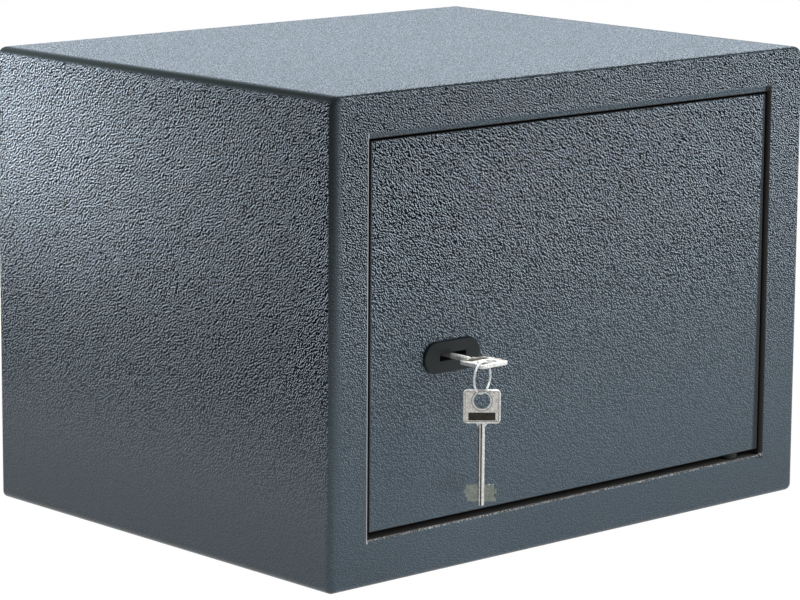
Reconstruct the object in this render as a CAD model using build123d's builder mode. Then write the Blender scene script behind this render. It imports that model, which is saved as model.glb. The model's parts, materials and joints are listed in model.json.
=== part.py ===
from build123d import *
from math import cos, radians, sin, sqrt
import os

# A small steel safe with an inset door. Millimetres, +Z up, +Y towards the back.
# The origin is the middle of the cabinet's underside.

# ---------------------------------------------------------------- cabinet
cabinet_w = 442.0
cabinet_d = 350.0
cabinet_h = 320.0
wall_t = 2.0
top_corner_r = 8.0
bottom_corner_r = 5.0
front_edge_r = 4.0

# front frame: a pressed ring with a lip that wraps back and a flange round the opening
frame_t = 2.0
frame_lip = 14.0
flange_depth = 18.0
opening_fold_r = 1.8
margin_left = 33.1
margin_right = 36.1
margin_top = 29.5
margin_bottom = 31.1

# back panel and floor mat
back_t = 2.0
back_corner_relief = 0.5
mat_t = 3.0
mat_gap = 3.0
mat_corner_r = 6.0
mat_punch_r = 9.0

# anchor holes in the base and in the back
anchor_hole_r = 6.0
base_anchor_spacing = 250.0
base_anchor_y = 20.0
back_anchor_spacing = 250.0
back_anchor_z = 205.0

# ---------------------------------------------------------------- door
door_t = 3.0
door_depth = 38.0
door_recess = 1.0
door_edge_r = 1.0
door_lip = 13.0
gap_left = 1.5
gap_right = 1.5
gap_top = 0.8
gap_bottom = 4.4
cover_t = 1.5
cover_inset = 1.5
cover_screw_r = 2.0
cover_screw_head_r = 3.8
cover_screw_head_h = 2.2
cover_screw_length = 4.5
cover_screw_fit = 0.2
cover_screw_rows = 3

# ---------------------------------------------------------------- hinge
hinge_inset = 22.0
hinge_setback = 8.0
pin_r = 4.0
pin_fit = 0.05
pin_head_r = 6.5
pin_head_t = 2.0
block_w = 30.0
block_d = 15.0
block_h = 12.0
return_hole_clearance = 0.6
washer_r = 6.5
washer_clearance = 0.3

# ---------------------------------------------------------------- lock and keyhole
key_from_left = 105.0
key_height = 143.0
keyhole_w = 23.2
keyhole_h = 5.0
escutcheon_w = 49.0
escutcheon_h = 21.0
escutcheon_t = 2.5
escutcheon_edge_r = 0.8
spigot_wall = 1.6
spigot_fit = 0.15

case_left = 36.0
case_right = 32.0
case_up = 31.0
case_down = 31.0
case_depth = 31.2
case_t = 1.5
case_fold_r = 2.5
ear_w = 12.0
ear_h = 10.0
ear_from_axis_left = 24.0
ear_from_axis_right = 20.0
pillar_r = 3.0
pillar_inset = 4.0
lock_cover_t = 1.5
lock_screw_r = 1.4
lock_screw_head_r = 2.6
lock_screw_head_h = 1.3
lock_screw_length = 7.0
stud_r = 2.5
stud_length = 7.5
stud_hole_clearance = 0.4
nut_across = 8.0
nut_h = 3.6

# rotor that the key turns
drum_r = 13.2
journal_r = 12.6
journal_fit = 0.05
rotor_end_gap = 0.2

# levers
lever_count = 5
lever_t = 1.2
lever_gap = 0.2
lever_start = 18.7
lever_ring_r = 15.3
lever_boss_r = 5.5
lever_tip_r = 5.0
lever_post_r = 2.5
lever_fit = 0.05
lever_pivot_x = 24.0
lever_top = 21.8
lever_tip_near = 12.0
lever_tip_far = -14.0
belly_clearance = 1.6
lever_key_slot_h = 6.4
gate_h = 3.6
pocket_h = 6.2
pocket_w = 7.0

# boltwork
bolt_throw = 15.0
lock_bolt_t = 2.4
lock_bolt_arm = 5.0
lock_bolt_tail_h = 16.0
talon_clearance = 0.4
stump_w = 4.0
stump_h = 3.0
stump_from_axis = 8.0
stump_height = 20.5
slot_clearance = 0.3
bolt_r = 8.0
bolt_pitch = 140.0
bolt_setback = 27.0
bolt_end_chamfer = 1.5
bolt_hole_clearance = 0.4
bolt_flush = 0.25
bolt_length = 21.5
bolt_tail_r = 4.0
rivet_head_r = 5.5
rivet_head_t = 2.0
bar_t = 3.0
bar_w = 15.0
bar_overrun = 11.0
arm_t = 2.0
arm_h = 14.0
arm_length = 36.0
arm_from_bolt = 6.0
guide_r = 3.0
guide_fit = 0.3
guide_foot_r = 5.0
guide_clip_r = 6.0
guide_clip_t = 1.2
guide_from_web = 12.0

# ---------------------------------------------------------------- keys and ring
bow_w = 24.0
bow_h = 22.0
bow_t = 2.6
bow_corner_r = 2.6
bow_hole_r = 5.5
bow_hole_from_top = 7.2
bow_rim_r = 6.9
bow_border = 1.3
bow_field_depth = 0.25
bow_edge_bevel = 0.3
bow_recess_w = 17.4
bow_recess_h = 5.2
bow_recess_drop = 10.3
bow_recess_depth = 0.7
neck_half_w = 3.8
neck_length = 2.4
shank_r = 2.1
groove_w = 1.3
groove_depth = 0.8
key_length = 76.4
bit_from_tip = 2.9
bit_length = 11.0
bit_t = 2.4
# reach of each step of the bit from the key's axis, from the bow side to the tip
left_bitting = (9.9, 11.0, 9.9, 8.8)
right_bitting = (8.3, 10.0, 8.3, 9.8)
key_proud = 41.5

ring_r = 10.5
ring_wire_r = 0.5
ring_wire_sides = 8
ring_turn_pitch = 0.7
ring_yaw = 17.0
ring_offset_x = -8.4
ring_offset_y = -3.6
ring_bar_half = 3.8
hang_gap = 0.3
spare_hang_gap = 0.5
spare_yaw = -42.0

# ---------------------------------------------------------------- worked-out places
front_y = -cabinet_d / 2
back_y = cabinet_d / 2
open_x0 = -cabinet_w / 2 + margin_left
open_x1 = cabinet_w / 2 - margin_right
open_z0 = margin_bottom
open_z1 = cabinet_h - margin_top
open_w = open_x1 - open_x0
open_h = open_z1 - open_z0
open_centre = ((open_x0 + open_x1) / 2, (open_z0 + open_z1) / 2)

door_x0 = open_x0 + gap_left
door_x1 = open_x1 - gap_right
door_z0 = open_z0 + gap_bottom
door_z1 = open_z1 - gap_top
door_w = door_x1 - door_x0
door_h = door_z1 - door_z0
door_centre = ((door_x0 + door_x1) / 2, (door_z0 + door_z1) / 2)
door_y = front_y + door_recess
skin_y = door_y + door_t
door_rear_y = door_y + door_depth

pin_x = door_x1 - hinge_inset
pin_y = door_y + hinge_setback

key_x = -cabinet_w / 2 + key_from_left
key_z = key_height
case_y = skin_y + case_t
case_rear_y = skin_y + case_depth
case_x0 = key_x - case_left
case_x1 = key_x + case_right

lever_y = skin_y + lever_start
lever_pitch = lever_t + lever_gap
lever_rear_y = lever_y + lever_count * lever_pitch - lever_gap
lock_bolt_y = lever_rear_y + slot_clearance
post_x = key_x + lever_pivot_x
key_reach = max(left_bitting + right_bitting)
stump_x = key_x + stump_from_axis
stump_z = key_z + stump_height

bolt_y = door_y + bolt_setback
web_x = door_x0 + bolt_flush + bolt_length
bar_y = bolt_y - bar_w / 2
guide_x = web_x + bar_t + guide_from_web
bolt_heights = (door_centre[1] - bolt_pitch / 2, door_centre[1] + bolt_pitch / 2)
arm_heights = (bolt_heights[0] - arm_from_bolt, bolt_heights[1] + arm_from_bolt)

inserted_hole_y = front_y - key_proud + bow_hole_from_top
ring_x = key_x + ring_offset_x
ring_y = inserted_hole_y + ring_offset_y
ring_inner_r = ring_r - ring_wire_r
bar_drop = sqrt(ring_inner_r ** 2 - ring_bar_half ** 2)
ring_z = key_z + bow_t / 2 + hang_gap - bar_drop
spare_hole_z = ring_z - ring_inner_r + spare_hang_gap - bow_hole_r


def facing(y):
    """The upright plane at depth y, seen from the front: local X is right, local Y is up."""
    return Plane.XZ.offset(-y)


def sideways(x):
    """The upright plane at x, seen from the right: local X is towards the back, local Y is up."""
    return Plane.YZ.offset(x)


def cabinet_outline(sketch, inset, relief=0.0):
    """Round-cornered outline of the cabinet, drawn in by the inset."""
    with Locations((0, cabinet_h / 2)):
        Rectangle(cabinet_w - 2 * inset, cabinet_h - 2 * inset)
    fillet(sketch.vertices().group_by(Axis.Y)[-1], top_corner_r - inset + relief)
    fillet(sketch.vertices().group_by(Axis.Y)[0], bottom_corner_r - inset + relief)


os.makedirs("parts", exist_ok=True)
made = []


def keep(builder, label):
    """Label a finished part and put it on the list that is written at the end."""
    builder.part.label = label
    made.append(builder.part)


# ================================================================ cabinet
with BuildPart() as body_wrap:
    with BuildSketch(facing(front_y + frame_lip)) as outside:
        cabinet_outline(outside, 0)
    extrude(amount=-(cabinet_d - frame_lip))
    with BuildSketch(facing(front_y + frame_lip)) as inside:
        cabinet_outline(inside, wall_t)
    extrude(amount=-(cabinet_d - frame_lip), mode=Mode.SUBTRACT)
    with BuildSketch(Plane.XY):
        with Locations((0, base_anchor_y)):
            with GridLocations(base_anchor_spacing, 0, 2, 1):
                Circle(anchor_hole_r)
    extrude(amount=wall_t, mode=Mode.SUBTRACT)
keep(body_wrap, "body_wrap")

with BuildPart() as frame_hollow:
    with BuildSketch(facing(front_y + frame_t)) as face:
        cabinet_outline(face, frame_t)
    extrude(amount=-frame_lip)
    fillet(frame_hollow.faces().sort_by(Axis.Y)[0].edges(), front_edge_r - frame_t)

with BuildPart() as front_frame:
    with BuildSketch(facing(front_y)) as face:
        cabinet_outline(face, 0)
    extrude(amount=-frame_lip)
    fillet(front_frame.faces().sort_by(Axis.Y)[0].edges(), front_edge_r)
    add(frame_hollow.part, mode=Mode.SUBTRACT)
    with BuildSketch(facing(front_y)):
        with Locations(open_centre):
            Rectangle(open_w, open_h)
    extrude(amount=-frame_lip, mode=Mode.SUBTRACT)
    with BuildSketch(facing(front_y)):
        with Locations(open_centre):
            Rectangle(open_w + 2 * frame_t, open_h + 2 * frame_t)
            Rectangle(open_w, open_h, mode=Mode.SUBTRACT)
    extrude(amount=-flange_depth)
    front_face = front_frame.faces().sort_by(Axis.Y)[0]
    fillet(front_face.inner_wires()[0].edges(), opening_fold_r)
    with BuildSketch(Plane.XY.offset(open_z0 - 2 * frame_t)):
        with Locations((pin_x, pin_y)):
            Circle(pin_r)
    extrude(amount=open_h + 4 * frame_t, mode=Mode.SUBTRACT)
keep(front_frame, "front_frame")

with BuildPart() as back_panel:
    with BuildSketch(facing(back_y - back_t)) as panel:
        cabinet_outline(panel, wall_t, back_corner_relief)
        with Locations((0, back_anchor_z)):
            with GridLocations(back_anchor_spacing, 0, 2, 1):
                Circle(anchor_hole_r, mode=Mode.SUBTRACT)
    extrude(amount=-back_t)
keep(back_panel, "back_panel")

mat_w = cabinet_w - 2 * (wall_t + mat_gap)
mat_front_y = front_y + flange_depth
mat_back_y = back_y - back_t - mat_gap
with BuildPart() as floor_mat:
    with BuildSketch(Plane.XY.offset(wall_t)):
        with Locations((0, (mat_front_y + mat_back_y) / 2)):
            RectangleRounded(mat_w, mat_back_y - mat_front_y, mat_corner_r)
        with Locations((0, base_anchor_y)):
            with GridLocations(base_anchor_spacing, 0, 2, 1):
                Circle(mat_punch_r, mode=Mode.SUBTRACT)
    extrude(amount=mat_t)
keep(floor_mat, "floor_mat")


def hinge_pin(label, flange_z, way):
    """A headed pin through the flange; way is -1 for a pin that points down."""
    reach = door_t + block_h
    gap = gap_top if way < 0 else gap_bottom
    with BuildPart() as pin:
        with BuildSketch(Plane.XY.offset(flange_z)):
            with Locations((pin_x, pin_y)):
                Circle(pin_head_r)
        extrude(amount=-way * pin_head_t)
        with BuildSketch(Plane.XY.offset(flange_z)):
            with Locations((pin_x, pin_y)):
                Circle(pin_r)
        extrude(amount=way * (frame_t + gap + reach))
        tip = pin.faces().sort_by(Axis.Z)[0 if way < 0 else -1]
        chamfer(tip.edges(), pin_r / 6)
    keep(pin, label)


hinge_pin("hinge_pin_top", open_z1 + frame_t, -1)
hinge_pin("hinge_pin_bottom", open_z0 - frame_t, 1)

with BuildPart() as hinge_washer:
    with BuildSketch(Plane.XY.offset(open_z0)):
        with Locations((pin_x, pin_y)):
            Circle(washer_r)
            Circle(pin_r + pin_fit, mode=Mode.SUBTRACT)
    extrude(amount=gap_bottom - washer_clearance)
keep(hinge_washer, "hinge_washer")

# ================================================================ door
with BuildPart() as door_panel:
    with BuildSketch(facing(door_y)):
        with Locations(door_centre):
            Rectangle(door_w, door_h)
    extrude(amount=-door_depth)
    fillet(door_panel.faces().sort_by(Axis.Y)[0].edges(), door_edge_r)
    offset(amount=-door_t, openings=door_panel.faces().sort_by(Axis.Y)[-1])
    with BuildSketch(facing(door_rear_y)):
        with Locations(door_centre):
            Rectangle(door_w, door_h)
            Rectangle(door_w - 2 * door_lip, door_h - 2 * door_lip, mode=Mode.SUBTRACT)
    extrude(amount=door_t)
    # keyhole
    with BuildSketch(facing(door_y)):
        with Locations((key_x, key_z)):
            Rectangle(keyhole_w + 2 * spigot_wall, keyhole_h + 2 * spigot_wall)
    extrude(amount=-door_t, mode=Mode.SUBTRACT)
    # holes that the live bolts slide through
    with BuildSketch(sideways(door_x0)):
        with Locations([(bolt_y, height) for height in bolt_heights]):
            Circle(bolt_r + bolt_hole_clearance)
    extrude(amount=door_t, mode=Mode.SUBTRACT)
    # hinge holes in the top and bottom returns
    with BuildSketch(Plane.XY.offset(door_z0)):
        with Locations((pin_x, pin_y)):
            Circle(pin_r + return_hole_clearance)
    extrude(amount=door_h, mode=Mode.SUBTRACT)
    # holes for the cover's screws
    screw_x = (door_w - door_lip - door_t) / 2
    screw_z = (door_h - door_lip - door_t) / (cover_screw_rows - 1)
    with BuildSketch(facing(door_rear_y)):
        with Locations(door_centre):
            with GridLocations(2 * screw_x, screw_z, 2, cover_screw_rows):
                Circle(cover_screw_r)
    extrude(amount=door_t, mode=Mode.SUBTRACT)
keep(door_panel, "door_panel")


def hinge_block(label, bottom_z):
    """A bored block welded into a corner of the door behind its return."""
    with BuildPart() as block:
        with BuildSketch(Plane.XY.offset(bottom_z)):
            with Locations((door_x1 - door_t, skin_y)):
                Rectangle(block_w, block_d, align=(Align.MAX, Align.MIN))
            with Locations((pin_x, pin_y)):
                Circle(pin_r + pin_fit, mode=Mode.SUBTRACT)
        extrude(amount=block_h)
        chamfer(block.edges().filter_by(Axis.Z).group_by(Axis.Y)[-1], door_edge_r)
    keep(block, label)


hinge_block("hinge_block_top", door_z1 - door_t - block_h)
hinge_block("hinge_block_bottom", door_z0 + door_t)

with BuildPart() as door_back_cover:
    with BuildSketch(facing(door_rear_y)) as plate:
        with Locations(door_centre):
            Rectangle(door_w - 2 * cover_inset, door_h - 2 * cover_inset)
            chamfer(plate.vertices(), door_t)
            with GridLocations(2 * screw_x, screw_z, 2, cover_screw_rows):
                Circle(cover_screw_r + cover_screw_fit, mode=Mode.SUBTRACT)
    extrude(amount=-cover_t)
keep(door_back_cover, "door_back_cover")

with BuildPart() as cover_screws:
    with BuildSketch(facing(door_rear_y + cover_t)):
        with Locations(door_centre):
            with GridLocations(2 * screw_x, screw_z, 2, cover_screw_rows):
                Circle(cover_screw_head_r)
    extrude(amount=-cover_screw_head_h)
    chamfer(cover_screws.faces().group_by(Axis.Y)[-1].edges(), cover_screw_head_h / 2)
    with BuildSketch(facing(door_rear_y + cover_t)):
        with Locations(door_centre):
            with GridLocations(2 * screw_x, screw_z, 2, cover_screw_rows):
                Circle(cover_screw_r)
    extrude(amount=cover_screw_length)
keep(cover_screws, "cover_screws")

with BuildPart() as escutcheon:
    with BuildSketch(facing(door_y)):
        with Locations((key_x, key_z)):
            SlotOverall(escutcheon_w, escutcheon_h)
    extrude(amount=escutcheon_t)
    fillet(escutcheon.faces().sort_by(Axis.Y)[0].edges(), escutcheon_edge_r)
    with BuildSketch(facing(door_y)):
        with Locations((key_x, key_z)):
            Rectangle(keyhole_w + 2 * (spigot_wall - spigot_fit), keyhole_h + 2 * (spigot_wall - spigot_fit))
    extrude(amount=-door_t)
    with BuildSketch(facing(door_y - escutcheon_t)):
        with Locations((key_x, key_z)):
            Rectangle(keyhole_w, keyhole_h)
    extrude(amount=-(escutcheon_t + door_t), mode=Mode.SUBTRACT)
keep(escutcheon, "escutcheon")

# ================================================================ lock
case_centre = ((case_x0 + case_x1) / 2, key_z + (case_up - case_down) / 2)
ear_places = [
    (key_x + side, key_z + end)
    for side in (-ear_from_axis_left, ear_from_axis_right)
    for end in (case_up + ear_h / 2, -case_down - ear_h / 2)
]
pillar_places = [
    (x, key_z + z)
    for x in (case_x0 + pillar_inset, case_x1 - pillar_inset)
    for z in (case_up - pillar_inset, pillar_inset - case_down)
]
with BuildPart() as lock_case:
    with BuildSketch(facing(skin_y)):
        with Locations(case_centre):
            Rectangle(case_left + case_right, case_up + case_down)
    extrude(amount=-case_depth)
    fillet(lock_case.edges().filter_by(Axis.Y), case_fold_r)
    offset(amount=-case_t, openings=lock_case.faces().sort_by(Axis.Y)[-1])
    with BuildSketch(facing(skin_y)):
        with Locations(ear_places):
            Rectangle(ear_w, ear_h + 2 * case_t)
    extrude(amount=-case_t)
    with BuildSketch(facing(case_y)):
        with Locations(pillar_places):
            Circle(pillar_r)
    extrude(amount=-(case_depth - case_t))
    with BuildSketch(facing(skin_y)):
        with Locations((key_x, key_z)):
            Circle(journal_r + journal_fit)
        with Locations(ear_places):
            Circle(stud_r + stud_hole_clearance)
    extrude(amount=-case_t, mode=Mode.SUBTRACT)
    with BuildSketch(facing(case_rear_y)):
        with Locations(pillar_places):
            Circle(lock_screw_r)
    extrude(amount=lock_screw_length, mode=Mode.SUBTRACT)
    # slot in the side wall for the lock bolt's tail
    with BuildSketch(sideways(case_x0)):
        with Locations((lock_bolt_y + lock_bolt_t / 2, key_z)):
            Rectangle(lock_bolt_t + 2 * slot_clearance, lock_bolt_tail_h + 2 * slot_clearance)
    extrude(amount=case_t, mode=Mode.SUBTRACT)
keep(lock_case, "lock_case")

with BuildPart() as lock_cover:
    with BuildSketch(facing(case_rear_y)) as plate:
        with Locations(case_centre):
            RectangleRounded(case_left + case_right, case_up + case_down, case_fold_r)
        with Locations(pillar_places):
            Circle(lock_screw_r + stud_hole_clearance / 2, mode=Mode.SUBTRACT)
    extrude(amount=-lock_cover_t)
keep(lock_cover, "lock_cover")

with BuildPart() as lock_cover_screws:
    with BuildSketch(facing(case_rear_y + lock_cover_t)):
        with Locations(pillar_places):
            Circle(lock_screw_head_r)
    extrude(amount=-lock_screw_head_h)
    with BuildSketch(facing(case_rear_y + lock_cover_t)):
        with Locations(pillar_places):
            Circle(lock_screw_r)
    extrude(amount=lock_screw_length)
keep(lock_cover_screws, "lock_cover_screws")

with BuildPart() as lock_studs:
    with BuildSketch(facing(skin_y)):
        with Locations(ear_places):
            Circle(stud_r)
    extrude(amount=-stud_length)
    chamfer(lock_studs.faces().group_by(Axis.Y)[-1].edges(), stud_r / 5)
keep(lock_studs, "lock_studs")

with BuildPart() as lock_nuts:
    with BuildSketch(facing(case_y)):
        with Locations(ear_places):
            RegularPolygon(nut_across / 2, 6, major_radius=False)
            Circle(stud_r, mode=Mode.SUBTRACT)
    extrude(amount=-nut_h)
keep(lock_nuts, "lock_nuts")

with BuildPart() as lever_post:
    with BuildSketch(facing(case_y)):
        with Locations((post_x, key_z)):
            Circle(lever_post_r)
    extrude(amount=-(case_depth - case_t))
    with BuildSketch(facing(case_y)):
        with Locations((post_x, key_z)):
            Circle(lever_boss_r)
    extrude(amount=-(lever_y - lever_gap - case_y))
keep(lever_post, "lever_post")

# the drum stops short of the levers and takes the first of the key's bits in its slot
bit_y = front_y - key_proud + key_length - bit_from_tip - bit_length
with BuildPart() as lock_rotor:
    with BuildSketch(facing(skin_y)):
        with Locations((key_x, key_z)):
            Circle(journal_r)
    extrude(amount=-(case_t + rotor_end_gap))
    with BuildSketch(facing(case_y + rotor_end_gap)):
        with Locations((key_x, key_z)):
            Circle(drum_r)
    extrude(amount=-(lever_y - lever_gap - case_y - rotor_end_gap))
    with BuildSketch(facing(skin_y)):
        with Locations((key_x, key_z)):
            Rectangle(keyhole_w, keyhole_h)
    extrude(amount=-(lever_y - skin_y), mode=Mode.SUBTRACT)
keep(lock_rotor, "lock_rotor")

with BuildPart() as levers:
    for number in range(lever_count):
        step = (lever_y + number * lever_pitch - bit_y) / bit_length
        index = min(int(step * len(left_bitting)), len(left_bitting) - 1)
        belly_r = max(left_bitting[index], right_bitting[index]) + belly_clearance
        plane = facing(lever_y + number * lever_pitch)
        with BuildSketch(plane):
            with Locations((key_x, key_z)):
                Circle(lever_ring_r)
            with Locations((post_x, key_z)):
                Circle(lever_boss_r)
            with Locations((key_x + lever_tip_near, key_z + lever_top)):
                Circle(lever_tip_r)
            with Locations((key_x + lever_tip_far, key_z + lever_top)):
                Circle(lever_tip_r)
            make_hull()
            with Locations((post_x, key_z)):
                Circle(lever_post_r + lever_fit, mode=Mode.SUBTRACT)
            with Locations((key_x, key_z)):
                Circle(belly_r, mode=Mode.SUBTRACT)
                Rectangle(keyhole_w + belly_clearance, lever_key_slot_h, mode=Mode.SUBTRACT)
            # gate: a pocket for the stump at each end of the throw and a close passage between
            with Locations((stump_x - bolt_throw / 2, stump_z)):
                Rectangle(bolt_throw, gate_h, mode=Mode.SUBTRACT)
            with Locations((stump_x, stump_z), (stump_x - bolt_throw, stump_z)):
                Rectangle(pocket_w, pocket_h, mode=Mode.SUBTRACT)
        extrude(amount=-lever_t)
keep(levers, "lock_levers")

# ================================================================ boltwork
talon_r = key_reach + talon_clearance
fork_end_x = key_x + bolt_throw + talon_r / 2
fork_top = stump_height + stump_h
with BuildPart() as lock_bolt:
    with BuildSketch(facing(lock_bolt_y)) as fork:
        with Locations((fork_end_x, key_z - talon_r - lock_bolt_arm)):
            Rectangle(
                fork_end_x - key_x + talon_r + lock_bolt_arm,
                talon_r + lock_bolt_arm + fork_top,
                align=(Align.MAX, Align.MIN),
            )
        with Locations((key_x - talon_r, key_z)):
            Rectangle(key_x - talon_r - web_x + bar_t, lock_bolt_tail_h, align=(Align.MAX, Align.CENTER))
        with Locations((key_x, key_z)):
            Circle(talon_r, mode=Mode.SUBTRACT)
        with Locations((key_x, key_z)):
            Rectangle(
                cabinet_w, 2 * talon_r, align=(Align.MIN, Align.CENTER), mode=Mode.SUBTRACT
            )
    extrude(amount=-lock_bolt_t)
    # the stump that runs in the levers' gates
    with BuildSketch(facing(lock_bolt_y)):
        with Locations((stump_x, stump_z)):
            Rectangle(stump_w, stump_h)
    extrude(amount=lock_bolt_y - lever_y)
keep(lock_bolt, "lock_bolt")

with BuildPart() as bolt_bar:
    with BuildSketch(sideways(web_x)):
        with Locations((bolt_y, door_centre[1])):
            Rectangle(bar_w, bolt_pitch + 2 * bar_overrun)
        with Locations([(bolt_y, height) for height in bolt_heights]):
            Circle(bolt_tail_r, mode=Mode.SUBTRACT)
        with Locations((lock_bolt_y + lock_bolt_t / 2, key_z)):
            Rectangle(lock_bolt_t, lock_bolt_tail_h, mode=Mode.SUBTRACT)
    extrude(amount=bar_t)
    with BuildSketch(facing(bar_y)):
        with Locations([(web_x, height) for height in arm_heights]):
            Rectangle(bar_t + arm_length, arm_h, align=(Align.MIN, Align.CENTER))
        with Locations([(guide_x + bolt_throw / 2, height) for height in arm_heights]):
            SlotOverall(
                bolt_throw + 2 * (guide_r + guide_fit) + 2 * guide_fit,
                2 * (guide_r + guide_fit),
                mode=Mode.SUBTRACT,
            )
    extrude(amount=-arm_t)
keep(bolt_bar, "bolt_bar")


def live_bolt(label, height):
    """A round bolt with a chamfered nose and a shouldered tail riveted through the bar."""
    nose_x = door_x0 + bolt_flush
    with BuildPart() as bolt:
        with BuildSketch(sideways(nose_x)):
            with Locations((bolt_y, height)):
                Circle(bolt_r)
        extrude(amount=web_x - nose_x)
        chamfer(bolt.faces().sort_by(Axis.X)[0].edges(), bolt_end_chamfer)
        with BuildSketch(sideways(web_x)):
            with Locations((bolt_y, height)):
                Circle(bolt_tail_r)
        extrude(amount=bar_t)
        with BuildSketch(sideways(web_x + bar_t)):
            with Locations((bolt_y, height)):
                Circle(rivet_head_r)
        extrude(amount=rivet_head_t)
        chamfer(bolt.faces().sort_by(Axis.X)[-1].edges(), rivet_head_t / 2)
    keep(bolt, label)


live_bolt("live_bolt_lower", bolt_heights[0])
live_bolt("live_bolt_upper", bolt_heights[1])

guide_places = [(guide_x, height) for height in arm_heights]
guide_end_y = bar_y + arm_t + slot_clearance
with BuildPart() as guide_studs:
    with BuildSketch(facing(skin_y)):
        with Locations(guide_places):
            Circle(guide_foot_r)
    extrude(amount=-(bar_y - slot_clearance - skin_y))
    with BuildSketch(facing(skin_y)):
        with Locations(guide_places):
            Circle(guide_r)
    extrude(amount=-(guide_end_y + 2 * guide_clip_t - skin_y))
keep(guide_studs, "guide_studs")

with BuildPart() as guide_clips:
    with BuildSketch(facing(guide_end_y)):
        with Locations(guide_places):
            Circle(guide_clip_r)
            Circle(guide_r, mode=Mode.SUBTRACT)
    extrude(amount=-guide_clip_t)
keep(guide_clips, "guide_clips")


# ================================================================ keys and ring
def double_bit_key(label, plane):
    """A double-bit key lying in the plane, with the bow's hole at the origin and the tip along -Y."""
    top = bow_hole_from_top
    bow_middle = top - bow_h / 2
    bow_end = top - bow_h
    field_w = bow_w - 2 * bow_border
    field_h = bow_h - 2 * bow_border
    tip = top - key_length
    bit_low = tip + bit_from_tip
    rise = bit_length / len(left_bitting)
    with BuildPart() as key:
        with BuildSketch(plane):
            with Locations((0, bow_middle)):
                RectangleRounded(bow_w, bow_h, bow_corner_r)
            with BuildLine():
                Polyline(
                    (-neck_half_w, bow_end + bow_border),
                    (neck_half_w, bow_end + bow_border),
                    (neck_half_w, bow_end),
                    (shank_r, bow_end - neck_length),
                    (-shank_r, bow_end - neck_length),
                    (-neck_half_w, bow_end),
                    close=True,
                )
            make_face()
        extrude(amount=bow_t / 2, both=True)
        broad_faces = key.faces().sort_by(Axis(plane.origin, plane.z_dir))
        chamfer(broad_faces[0].edges() + broad_faces[-1].edges(), bow_edge_bevel)
        # sunk field inside the border, with the rim of the hole left standing
        for side in (1, -1):
            with BuildSketch(plane.offset(side * bow_t / 2)):
                with Locations((0, bow_middle)):
                    RectangleRounded(field_w, field_h, bow_corner_r - bow_border)
                Circle(bow_rim_r, mode=Mode.SUBTRACT)
            extrude(amount=-side * bow_field_depth, mode=Mode.SUBTRACT)
            with BuildSketch(plane.offset(side * bow_t / 2)):
                with Locations((0, -bow_recess_drop)):
                    Rectangle(bow_recess_w, bow_recess_h)
            extrude(amount=-side * bow_recess_depth, mode=Mode.SUBTRACT)
        with BuildSketch(plane):
            with BuildLine():
                Polyline(
                    (0, bow_end + bow_border),
                    (shank_r, bow_end - neck_length / 2),
                    (shank_r, tip + groove_depth),
                    (shank_r - groove_depth, tip),
                    (0, tip),
                    close=True,
                )
            make_face()
        revolve(axis=Axis(plane.origin, plane.y_dir))
        # the two wings of the bit, stepped along the key
        with BuildSketch(plane):
            for number, (left, right) in enumerate(zip(left_bitting, right_bitting)):
                low = bit_low + bit_length - (number + 1) * rise
                with Locations((-left, low)):
                    Rectangle(left + right, rise, align=Align.MIN)
        extrude(amount=bit_t / 2, both=True)
        with BuildSketch(plane):
            Circle(bow_hole_r)
        extrude(amount=bow_t, both=True, mode=Mode.SUBTRACT)
        # groove along both faces of the shank
        for side in (1, -1):
            with BuildSketch(plane.offset(side * shank_r)):
                with Locations((0, bow_end)):
                    Rectangle(groove_w, key_length, align=(Align.CENTER, Align.MAX))
            extrude(amount=-side * groove_depth, mode=Mode.SUBTRACT)
    keep(key, label)


inserted_plane = Plane(origin=(key_x, inserted_hole_y, key_z), x_dir=(-1, 0, 0), z_dir=(0, 0, 1))
double_bit_key("inserted_key", inserted_plane)

across = (cos(radians(spare_yaw)), sin(radians(spare_yaw)), 0)
spare_plane = Plane(
    origin=(ring_x, ring_y, spare_hole_z),
    x_dir=across,
    z_dir=(across[1], -across[0], 0),
)
double_bit_key("spare_key", spare_plane)

ring_across = (cos(radians(ring_yaw)), sin(radians(ring_yaw)), 0)
ring_section = Plane(
    origin=(ring_x, ring_y, ring_z),
    x_dir=(ring_across[1], -ring_across[0], 0),
    z_dir=(-ring_across[0], -ring_across[1], 0),
)
with BuildPart() as split_ring:
    with BuildSketch(ring_section):
        with Locations((-ring_turn_pitch / 2, ring_r), (ring_turn_pitch / 2, ring_r)):
            RegularPolygon(ring_wire_r, ring_wire_sides)
    revolve(axis=Axis((ring_x, ring_y, ring_z), (ring_across[1], -ring_across[0], 0)))
keep(split_ring, "split_ring")

# ================================================================ write the parts
for part in made:
    export_step(part, f"parts/{part.label}.step")
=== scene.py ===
import json
import math

import bmesh
import bpy
from mathutils import Matrix, Vector


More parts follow.
